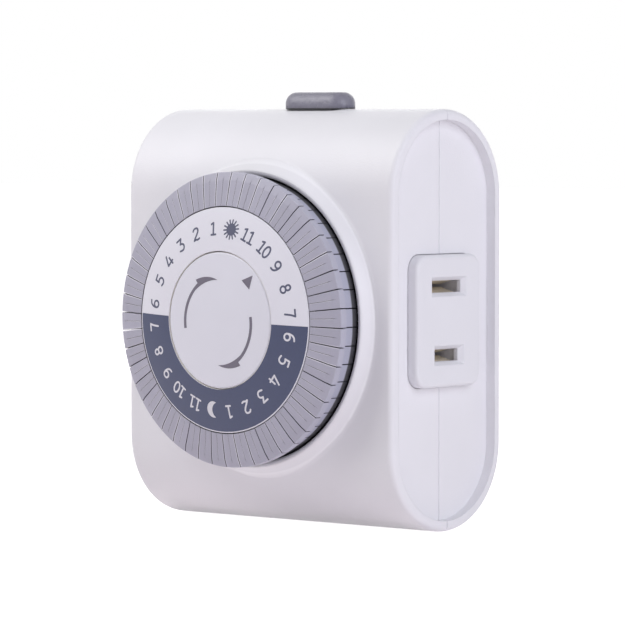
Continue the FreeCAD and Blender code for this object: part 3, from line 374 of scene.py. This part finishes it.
class Shader:
    """A procedural material on the object's own coordinates."""

    def __init__(self, name):
        self.material = bpy.data.materials.new(name)
        self.material.use_nodes = True
        self.tree = self.material.node_tree
        self.tree.nodes.clear()
        self.out = self.tree.nodes.new("ShaderNodeOutputMaterial")
        self.bsdf = self.tree.nodes.new("ShaderNodeBsdfPrincipled")
        self.link(self.bsdf.outputs[0], self.out.inputs[0])
        self.place = self.tree.nodes.new("ShaderNodeTexCoord").outputs["Object"]

    def link(self, source, target):
        """Lead one node's output into another's input."""
        self.tree.links.new(source, target)

    def fill(self, target, value):
        """Give an input a constant or another node's output."""
        if hasattr(value, "is_output"):
            self.link(value, target)
        else:
            target.default_value = value

    def parts(self):
        """The object coordinates as x, y and z."""
        node = self.tree.nodes.new("ShaderNodeSeparateXYZ")
        self.link(self.place, node.inputs[0])
        return node.outputs

    def joined(self, x, y, z):
        """One vector from three values."""
        node = self.tree.nodes.new("ShaderNodeCombineXYZ")
        for socket, value in zip(node.inputs, (x, y, z)):
            self.fill(socket, value)
        return node.outputs[0]

    def noise(self, size_mm, detail, rough, at=None):
        """Uneven values from 0 to 1, at a size in millimetres."""
        node = self.tree.nodes.new("ShaderNodeTexNoise")
        node.inputs["Scale"].default_value = 1.0 / (size_mm * mm)
        node.inputs["Detail"].default_value = detail
        node.inputs["Roughness"].default_value = rough
        self.link(at or self.place, node.inputs["Vector"])
        return node.outputs[0]

    def cloud(self, size_mm):
        """Soft, slow noise."""
        return self.noise(size_mm, 2.0, 0.5)

    def grain(self, size_mm):
        """Noise with finer noise in it."""
        return self.noise(size_mm, 3.0, 0.6)

    def streaks(self, size_mm, stretched):
        """Noise drawn out into lines, on coordinates that are stretched along them."""
        return self.noise(size_mm, 2.0, 0.6, stretched)

    def chance(self, number):
        """A fixed value from 0 to 1 for each number."""
        node = self.tree.nodes.new("ShaderNodeTexWhiteNoise")
        node.noise_dimensions = "1D"
        self.link(number, node.inputs["W"])
        return node.outputs[0]

    def maths(self, operation, first, second=0.0):
        """One operation on two values."""
        node = self.tree.nodes.new("ShaderNodeMath")
        node.operation = operation
        self.fill(node.inputs[0], first)
        self.fill(node.inputs[1], second)
        return node.outputs[0]

    def plus(self, first, second):
        """Two values added up."""
        return self.maths("ADD", first, second)

    def times(self, first, second):
        """Two values multiplied."""
        return self.maths("MULTIPLY", first, second)

    def from_axis(self, x, z):
        """Distance from the dial's axis."""
        return self.maths("SQRT", self.plus(self.times(x, x), self.times(z, z)))

    def spread(self, value, low, high, start=0.3, end=0.7):
        """From low to high while the value goes from start to end."""
        node = self.tree.nodes.new("ShaderNodeMapRange")
        node.inputs["From Min"].default_value = start
        node.inputs["From Max"].default_value = end
        node.inputs["To Min"].default_value = low
        node.inputs["To Max"].default_value = high
        self.link(value, node.inputs["Value"])
        return node.outputs[0]

    def rise(self, value, start_mm, end_mm):
        """From 0 to 1 between two places, in millimetres."""
        return self.spread(value, 0.0, 1.0, start_mm * mm, end_mm * mm)

    def fall(self, value, start_mm, end_mm):
        """From 1 to 0 between two places, in millimetres."""
        return self.spread(value, 1.0, 0.0, start_mm * mm, end_mm * mm)

    def mix(self, amount, first, second):
        """The first colour at 0 and the second at 1."""
        node = self.tree.nodes.new("ShaderNodeMix")
        node.data_type = "RGBA"
        self.fill(node.inputs["Factor"], amount)
        for socket, value in ((node.inputs[6], first), (node.inputs[7], second)):
            self.fill(socket, value if hasattr(value, "is_output") else (*value, 1.0))
        return node.outputs[2]

    def tinted(self, colour, amount, value):
        """The colour, darker and lighter by a share as value goes from 0 to 1."""
        dark = tuple(c * (1 - amount) for c in colour)
        light = tuple(min(1.0, c * (1 + amount)) for c in colour)
        return self.mix(value, dark, light)

    def clouded(self, colour, amount, cloud):
        """The colour, a little uneven as a noise has it."""
        return self.tinted(colour, amount, self.spread(cloud, 0.0, 1.0))

    def rounded(self, radius):
        """Normal that rounds every edge off, at a radius in metres."""
        node = self.tree.nodes.new("ShaderNodeBevel")
        node.samples = shader_samples
        self.fill(node.inputs["Radius"], radius)
        return node.outputs[0]

    def shelter(self, reach_mm):
        """How open the surface lies, from 0 in a deep gap to 1 on a free face."""
        node = self.tree.nodes.new("ShaderNodeAmbientOcclusion")
        node.samples = shader_samples
        node.inputs["Distance"].default_value = reach_mm * mm
        return node.outputs["AO"]

    def bump(self, height, depth_mm, normal=None):
        """Fine relief on top of a normal."""
        node = self.tree.nodes.new("ShaderNodeBump")
        node.inputs["Strength"].default_value = 1.0
        node.inputs["Distance"].default_value = depth_mm * mm
        self.link(height, node.inputs["Height"])
        if normal is not None:
            self.link(normal, node.inputs["Normal"])
        self.link(node.outputs[0], self.bsdf.inputs["Normal"])

    def dress(self, colour, roughness, shine=0.5, metallic=0.0):
        """Give the surface its colour, roughness and shine, and finish the material."""
        self.fill(self.bsdf.inputs["Base Color"], colour)
        self.fill(self.bsdf.inputs["Roughness"], roughness)
        self.bsdf.inputs["Specular IOR Level"].default_value = shine
        self.bsdf.inputs["Metallic"].default_value = metallic
        return self.material


def moulded(name, colour, roughness, grain_mm, grain_depth_mm, soft_mm=0.12, painted_light_in_gap=False):
    """Injection-moulded plastic with a fine spark-eroded skin and softened edges."""
    s = Shader(name)
    fine = s.grain(grain_mm)
    tone = s.clouded(colour, moulded_mottle, s.cloud(moulded_cloud_mm))
    # Painted light: the walls of the narrow gap round the cap are made near white against their shade.
    if painted_light_in_gap:
        x, y, z = s.parts()
        from_axis = s.from_axis(x, z)
        across = s.times(s.rise(from_axis, *cap_gap_from_r), s.fall(from_axis, *cap_gap_to_r))
        tone = s.mix(s.times(across, s.rise(y, *cap_gap_deep_y)), tone, cap_gap_painted_light)
    s.bump(fine, grain_depth_mm, s.rounded(soft_mm * mm))
    return s.dress(tone, s.spread(fine, roughness - 0.05, roughness + 0.05))


def housing_plastic():
    """White housing plastic, with soft edges, painted shade on the ring's inner flank and a painted light
    band along the ring's foot.
    """
    s = Shader("timer_white_housing")
    x, y, z = s.parts()
    from_axis = s.from_axis(x, z)
    flank = s.fall(from_axis, *ring_flank_r)
    foot = s.times(s.rise(from_axis, *ring_foot_from_r), s.fall(from_axis, *ring_foot_to_r))
    colour = s.clouded(housing_white, moulded_mottle, s.cloud(moulded_cloud_mm))
    # Painted shade darkens the ring's inner flank; a painted light band lightens the ring's foot.
    colour = s.mix(foot, s.mix(flank, colour, ring_flank_shade), ring_foot_light)
    off_ring = s.maths("ABSOLUTE", s.maths("SUBTRACT", from_axis, ring_middle_r * mm))
    softness = s.spread(off_ring, ring_edge_mm * mm, edge_mm * mm, ring_reach[0] * mm, ring_reach[1] * mm)
    fine = s.grain(0.34)
    s.bump(fine, 0.030, s.rounded(softness))
    return s.dress(colour, s.spread(fine, 0.37, 0.48))


def slider_plastic():
    """Coarsely grained grey plastic with a painted contact shadow where the slider meets the housing."""
    s = Shader("timer_slider_grey")
    x, y, z = s.parts()
    colour = s.clouded(slider_grey, 0.08, s.cloud(1.2))
    coarse = s.grain(0.55)
    s.bump(coarse, 0.10, s.rounded(slider_edge_mm * mm))
    # Painted shadow: the slider's lowest band is darkened where it meets the housing.
    return s.dress(s.mix(s.fall(z, *slider_foot_z), colour, slider_contact_shadow),
                   s.spread(coarse, 0.26, 0.40), shine=0.75)


def tripper_plastic():
    """Grey pin plastic: each pin a little different, with faint streaks drawn along it, painted light and
    highlights on its grooves and edges, lighter painted light on its sides and heads, and painted shade at
    the root and in deep gaps.
    """
    s = Shader("timer_tripper_grey")
    x, y, z = s.parts()
    turn = s.maths("ARCTAN2", x, z)
    radius = s.from_axis(x, z)
    pins = s.times(s.maths("SUBTRACT", turn, math.radians(pins_turned)), pin_count / (2 * math.pi))
    pin_chance = s.chance(s.maths("FLOOR", pins))
    boundary_chance = s.chance(s.plus(s.maths("ROUND", pins), 0.37))

    drawn_out = s.joined(s.times(turn, streak_r * mm), y, s.times(radius, streak_stretch))
    streaks = s.streaks(0.16, drawn_out)
    fine = s.grain(0.22)
    tone = s.plus(s.plus(s.times(pin_chance, 0.4), s.times(streaks, 0.3)), s.times(fine, 0.5))
    colour = s.tinted(tripper_grey, 0.085, s.spread(tone, 0.0, 1.0, 0.2, 1.0))

    # Painted light in each pin's middle groove, and painted highlights along some pin edges.
    off_middle = s.maths("ABSOLUTE", s.maths("SUBTRACT", s.maths("FRACT", pins), 0.5))
    groove_painted_light = s.times(s.spread(off_middle, 1.0, 0.0, *groove_light_part), s.fall(radius, *pin_face_r))
    groove_painted_light = s.times(groove_painted_light, s.spread(pin_chance, 0.35, 0.8, 0.0, 1.0))
    highlight_share = s.spread(boundary_chance, 0.0, 1.0, 0.35, 0.8)
    boundary_painted_highlight = s.times(s.spread(off_middle, 0.0, 1.0, *boundary_highlight_part), highlight_share)
    colour = s.mix(s.maths("MAXIMUM", groove_painted_light, boundary_painted_highlight), colour, tripper_painted_highlight)

    # Painted light: the pins' sides and heads get lighter copies of the grey.
    body_side = s.times(s.rise(y, *pin_body_y), s.rise(radius, *pin_body_r))
    colour = s.mix(body_side, colour, tripper_body_light)
    colour = s.mix(s.rise(radius, *pin_head_r), colour, tripper_head_light)
    # Painted shade: dark at the pins' roots and, by ambient occlusion, in deep gaps.
    colour = s.mix(s.rise(y, *pin_root_y), colour, tripper_root_shade)
    open_share = s.spread(s.shelter(pin_gap_reach), 0.0, 1.0, 0.30, 0.62)
    s.bump(s.plus(s.times(fine, 0.5), streaks), 0.010, s.rounded(0.16 * mm))
    return s.dress(s.mix(open_share, tripper_gap_shade, colour), s.spread(fine, 0.46, 0.58), shine=0.9)


def ink(name, colour):
    """Screen-printed ink with a slightly uneven coat."""
    s = Shader(name)
    coat = s.grain(0.5)
    s.bump(coat, 0.004)
    return s.dress(s.clouded(colour, 0.05, coat), s.spread(coat, 0.37, 0.47))


def metal(name, colour, roughness, brushed_along, tarnish=0.1, metallic=1.0):
    """Stamped, rolled or plated metal with faint lines along one axis."""
    s = Shader(name)
    stretched = [s.times(part, brush_stretch if axis == brushed_along else 1.0)
                 for axis, part in zip("XYZ", s.parts())]
    lines = s.streaks(0.12, s.joined(*stretched))
    s.bump(lines, 0.004)
    return s.dress(s.clouded(colour, tarnish, s.grain(3.0)),
                   s.spread(lines, roughness - 0.06, roughness + 0.08), metallic=metallic)


def winding():
    """Enamelled copper wire, turn beside turn round the bobbin."""
    s = Shader("timer_copper_winding")
    turns = s.tree.nodes.new("ShaderNodeTexWave")
    turns.bands_direction = "Y"
    turns.inputs["Scale"].default_value = 1.0 / (0.9 * mm)
    turns.inputs["Distortion"].default_value = 0.6
    s.link(s.place, turns.inputs["Vector"])
    height = turns.outputs["Fac"]
    s.bump(height, 0.05)
    return s.dress(s.tinted((0.50, 0.20, 0.09), 0.2, height), s.spread(height, 0.25, 0.4, 0.0, 1.0),
                   metallic=0.6)


def finish_nodes():
    """Every solid gets the finish of its material slot."""
    outlet_white = (0.810, 0.806, 0.845)
    cap_white = (0.785, 0.784, 0.858)
    dial_white = (0.812, 0.807, 0.876)
    finishes = {
        "white_housing": housing_plastic(),
        "white_outlet": moulded("timer_outlet_white", outlet_white, 0.40, 0.40, 0.008, soft_mm=0.3),
        "white_cap": moulded("timer_cap_white", cap_white, 0.36, 0.45, 0.004, painted_light_in_gap=True),
        "dial_print": moulded("timer_dial_white", dial_white, 0.40, 0.45, 0.004, painted_light_in_gap=True),
        "grey_tripper": tripper_plastic(),
        "grey_slider": slider_plastic(),
        "dark_carrier": moulded("timer_carrier_dark", (0.055, 0.056, 0.068), 0.55, 0.40, 0.010),
        "natural_acetal": moulded("timer_acetal", (0.80, 0.79, 0.74), 0.35, 0.50, 0.006),
        "nickel_contact": metal("timer_nickel_contact", (0.66, 0.60, 0.50), 0.55, "X", 0.14, 0.65),
        "nickel_blade": metal("timer_nickel_blade", (0.74, 0.70, 0.62), 0.24, "Y", 0.05),
        "brass_strip": metal("timer_brass_strip", (0.74, 0.56, 0.26), 0.30, "X"),
        "spring_bronze": metal("timer_spring_bronze", (0.62, 0.40, 0.22), 0.28, "Z"),
        "silver_contact": metal("timer_silver_contact", (0.80, 0.80, 0.79), 0.32, "X"),
        "steel": metal("timer_zinc_steel", (0.55, 0.55, 0.56), 0.34, "Z"),
        "steel_plate": metal("timer_steel_sheet", (0.58, 0.58, 0.60), 0.32, "Z"),
        "copper_coil": winding(),
    }
    for node in nodes.values():
        for used in node.material_slots:
            slot = used.material.name.split(".")[0]
            used.material = finishes[slot]


def night_half():
    """Points and faces of the dial's dark half."""
    columns = 120
    rows = 10
    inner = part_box("centre_cap")[1].x / mm + night_inset_in
    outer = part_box("number_disc")[1].x / mm - night_inset_out
    points = []
    for row in range(rows + 1):
        radius = inner + (outer - inner) * row / rows
        for column in range(columns + 1):
            points.append(polar(radius, night_starts + (day_starts - night_starts) * column / columns))
    faces = []
    for row in range(rows):
        for column in range(columns):
            a = row * (columns + 1) + column
            b = a + columns + 1
            faces.append([a + 1, b + 1, b, a])
    return points, faces


def sun_outlines():
    """A disc with round-ended rays."""
    disc = counter_clockwise([polar(sun_r, 360.0 * step / 40) for step in range(40)])
    rays = []
    for ray in range(sun_rays):
        turn = 360.0 * ray / sun_rays
        rays.append(ribbon([polar(sun_r * 0.8, turn), polar(ray_tip - ray_w / 2, turn)], ray_w))
    return [disc] + rays


def moon_outline():
    """A crescent: a disc less the bite of another, with its horns towards the smaller angles."""
    shift = moon_bite_shift
    meet_x = (moon_bite_r ** 2 - moon_r ** 2 - shift ** 2) / (2 * shift)
    outer_half = 180.0 - math.degrees(math.acos(-meet_x / moon_r))
    inner_half = math.degrees(math.acos((meet_x + shift) / moon_bite_r))
    steps = 24
    outer = []
    inner = []
    for step in range(steps + 1):
        outer.append(polar(moon_r, 90.0 - outer_half + 2 * outer_half * step / steps))
        x, z = polar(moon_bite_r, 90.0 + inner_half - 2 * inner_half * step / steps)
        inner.append((x - shift, z))
    return counter_clockwise([(x + moon_place[0], z + moon_place[1]) for x, z in outer + inner[1:-1]])


def mark_outlines(text):
    """Outlines of the sun, the moon or an hour number."""
    if text == "sun":
        return sun_outlines()
    if text == "moon":
        return [moon_outline()]
    return [ribbon(stroke, stroke_w) for stroke in label(text)]


def dial_print():
    """The dark half, then the sun, the moon and the hour numbers clockwise from the sun."""
    depth = front_of("number_disc")
    slate = ink("timer_ink_slate", slate_ink)
    night = ink("timer_ink_night", night_ink)
    white = ink("timer_ink_white", white_ink)
    points, faces = night_half()
    lay_ink("night_half_print", points, faces, depth, ink_lift, night, "dial")

    hours = [str(hour) for hour in range(11, 0, -1)]
    for index, text in enumerate(["sun"] + hours + ["moon"] + hours):
        clockwise = print_turned + label_step * index
        at_night = night_starts < clockwise < day_starts
        quarter = ("day", "evening", "night", "morning")[index // 6]
        name = "%s_mark" % text if text in ("sun", "moon") else "%s_hour_%s_print" % (quarter, text)
        points, faces = joined(mark_outlines(text))
        lay_ink(name, on_dial(points, clockwise, label_r), faces, depth,
                top_ink_lift if at_night else ink_lift, white if at_night else slate, "dial")


def arrow_outline():
    """Curved arrow: a band along a circle that ends in a fin-shaped head."""
    half = arrow_w / 2
    outer = []
    inner = []
    steps = 40
    for step in range(steps + 1):
        turn = arrow_start + (arrow_tip - arrow_start) * step / steps
        taper = max(0.0, (turn - arrow_taper_from) / (arrow_tip - arrow_taper_from))
        inner.append(polar(arrow_r - half - (arrow_r - half - arrow_tip_r) * taper ** 0.8, turn))
        if turn < arrow_notch:
            outer.append(polar(arrow_r + half, turn))
    outer.append(polar(arrow_r + half, arrow_notch))
    head_steps = 14
    for step in range(head_steps):
        share = step / head_steps
        turn = arrow_notch + (arrow_tip - arrow_notch) * share
        drop = (arrow_back_r - arrow_tip_r) * (0.78 * share + 0.22 * share ** 2)
        outer.append(polar(arrow_back_r - drop, turn))
    return counter_clockwise([(x + arrow_centre[0], z + arrow_centre[1]) for x, z in outer + inner[::-1]])


def cap_marks():
    """Pointer and the two turning arrows on the still cap."""
    depth = front_of("centre_cap")
    grey = ink("timer_ink_grey", grey_ink)
    arrow = arrow_outline()
    cx, cz = marks_centre
    marks = {
        "left_turn_arrow": [(cx + x, cz + z) for x, z in arrow],
        "right_turn_arrow": [(cx - x, cz - z) for x, z in arrow],
        "time_pointer": counter_clockwise(list(pointer_corners)),
    }
    for name, outline in marks.items():
        points, faces = joined([outline])
        lay_ink(name, points, faces, depth, top_ink_lift, grey, "housing")


def seen_directly(tree, level):
    """The level where the camera, a reflection or a refraction looks, and none for light."""
    path = tree.nodes.new("ShaderNodeLightPath")
    seen = path.outputs["Is Camera Ray"]
    for ray in ("Is Glossy Ray", "Is Transmission Ray"):
        either = tree.nodes.new("ShaderNodeMath")
        either.operation = "MAXIMUM"
        tree.links.new(seen, either.inputs[0])
        tree.links.new(path.outputs[ray], either.inputs[1])
        seen = either.outputs[0]
    scaled = tree.nodes.new("ShaderNodeMath")
    scaled.operation = "MULTIPLY"
    tree.links.new(seen, scaled.inputs[0])
    scaled.inputs[1].default_value = level
    return scaled.outputs[0]


def pale_floor():
    """Floor that takes the shadow and is nearly white where it is seen."""
    bpy.ops.mesh.primitive_plane_add(size=floor_size, location=(0, 0, cad_box[0].z))
    floor = bpy.context.object
    floor.name = "stage_floor"
    s = Shader("stage_floor_white")
    s.bsdf.inputs["Base Color"].default_value = (*floor_colour, 1.0)
    s.bsdf.inputs["Roughness"].default_value = floor_rough
    glow = s.tree.nodes.new("ShaderNodeEmission")
    s.link(s.plus(seen_directly(s.tree, floor_white), floor_glow), glow.inputs["Strength"])
    both = s.tree.nodes.new("ShaderNodeAddShader")
    s.link(s.bsdf.outputs[0], both.inputs[0])
    s.link(glow.outputs[0], both.inputs[1])
    s.link(both.outputs[0], s.out.inputs[0])
    floor.data.materials.append(s.material)


def white_surroundings():
    """Soft light from all sides, and plain white where the surroundings are seen."""
    world = bpy.data.worlds.new("stage_world")
    bpy.context.scene.world = world
    world.use_nodes = True
    tree = world.node_tree
    tree.nodes.clear()
    out = tree.nodes.new("ShaderNodeOutputWorld")
    light = tree.nodes.new("ShaderNodeBackground")
    light.inputs["Color"].default_value = (*sky_colour, 1.0)
    light.inputs["Strength"].default_value = sky_level
    white = tree.nodes.new("ShaderNodeBackground")
    white.inputs["Color"].default_value = (1.0, 1.0, 1.0, 1.0)
    pick = tree.nodes.new("ShaderNodeMixShader")
    tree.links.new(seen_directly(tree, 1.0), pick.inputs[0])
    tree.links.new(light.outputs[0], pick.inputs[1])
    tree.links.new(white.outputs[0], pick.inputs[2])
    tree.links.new(pick.outputs[0], out.inputs[0])


def area_light(name, direction, distance, size, watts, colour):
    """Soft light that looks at the object."""
    data = bpy.data.lights.new(name, "AREA")
    data.shape = "SQUARE"
    data.size = size
    data.energy = watts
    data.color = colour
    lamp = bpy.data.objects.new(name, data)
    outward = Vector(direction).normalized()
    lamp.location = (cad_box[0] + cad_box[1]) / 2 + outward * distance
    lamp.rotation_mode = "QUATERNION"
    lamp.rotation_quaternion = (-outward).to_track_quat("-Z", "Y")
    bpy.context.scene.collection.objects.link(lamp)


def lights():
    """Key from the upper left, a second soft light on the right side and a third behind."""
    area_light("key_light", key_from, key_distance, key_size, key_watts, key_colour)
    area_light("side_light", side_from, side_distance, side_size, side_watts, side_colour)
    area_light("back_light", back_from, back_distance, back_size, back_watts, back_colour)


def camera():
    """The photograph's view."""
    data = bpy.data.cameras.new("photo_camera")
    data.sensor_width = sensor_width
    data.lens = focal_px * sensor_width / picture_px
    data.clip_start, data.clip_end = camera_reach
    eye = bpy.data.objects.new("photo_camera", data)
    azimuth = math.radians(camera_azimuth)
    pitch = math.radians(camera_pitch)
    level = math.cos(pitch)
    back = Vector((math.sin(azimuth) * level, -math.cos(azimuth) * level, math.sin(pitch)))
    eye.location = camera_place
    eye.rotation_mode = "QUATERNION"
    eye.rotation_quaternion = (-back).to_track_quat("-Z", "Y")
    bpy.context.scene.collection.objects.link(eye)
    bpy.context.scene.camera = eye


finish_nodes()
dial_print()
cap_marks()
pale_floor()
white_surroundings()
lights()
camera()
bpy.context.scene.view_settings.view_transform = "Standard"
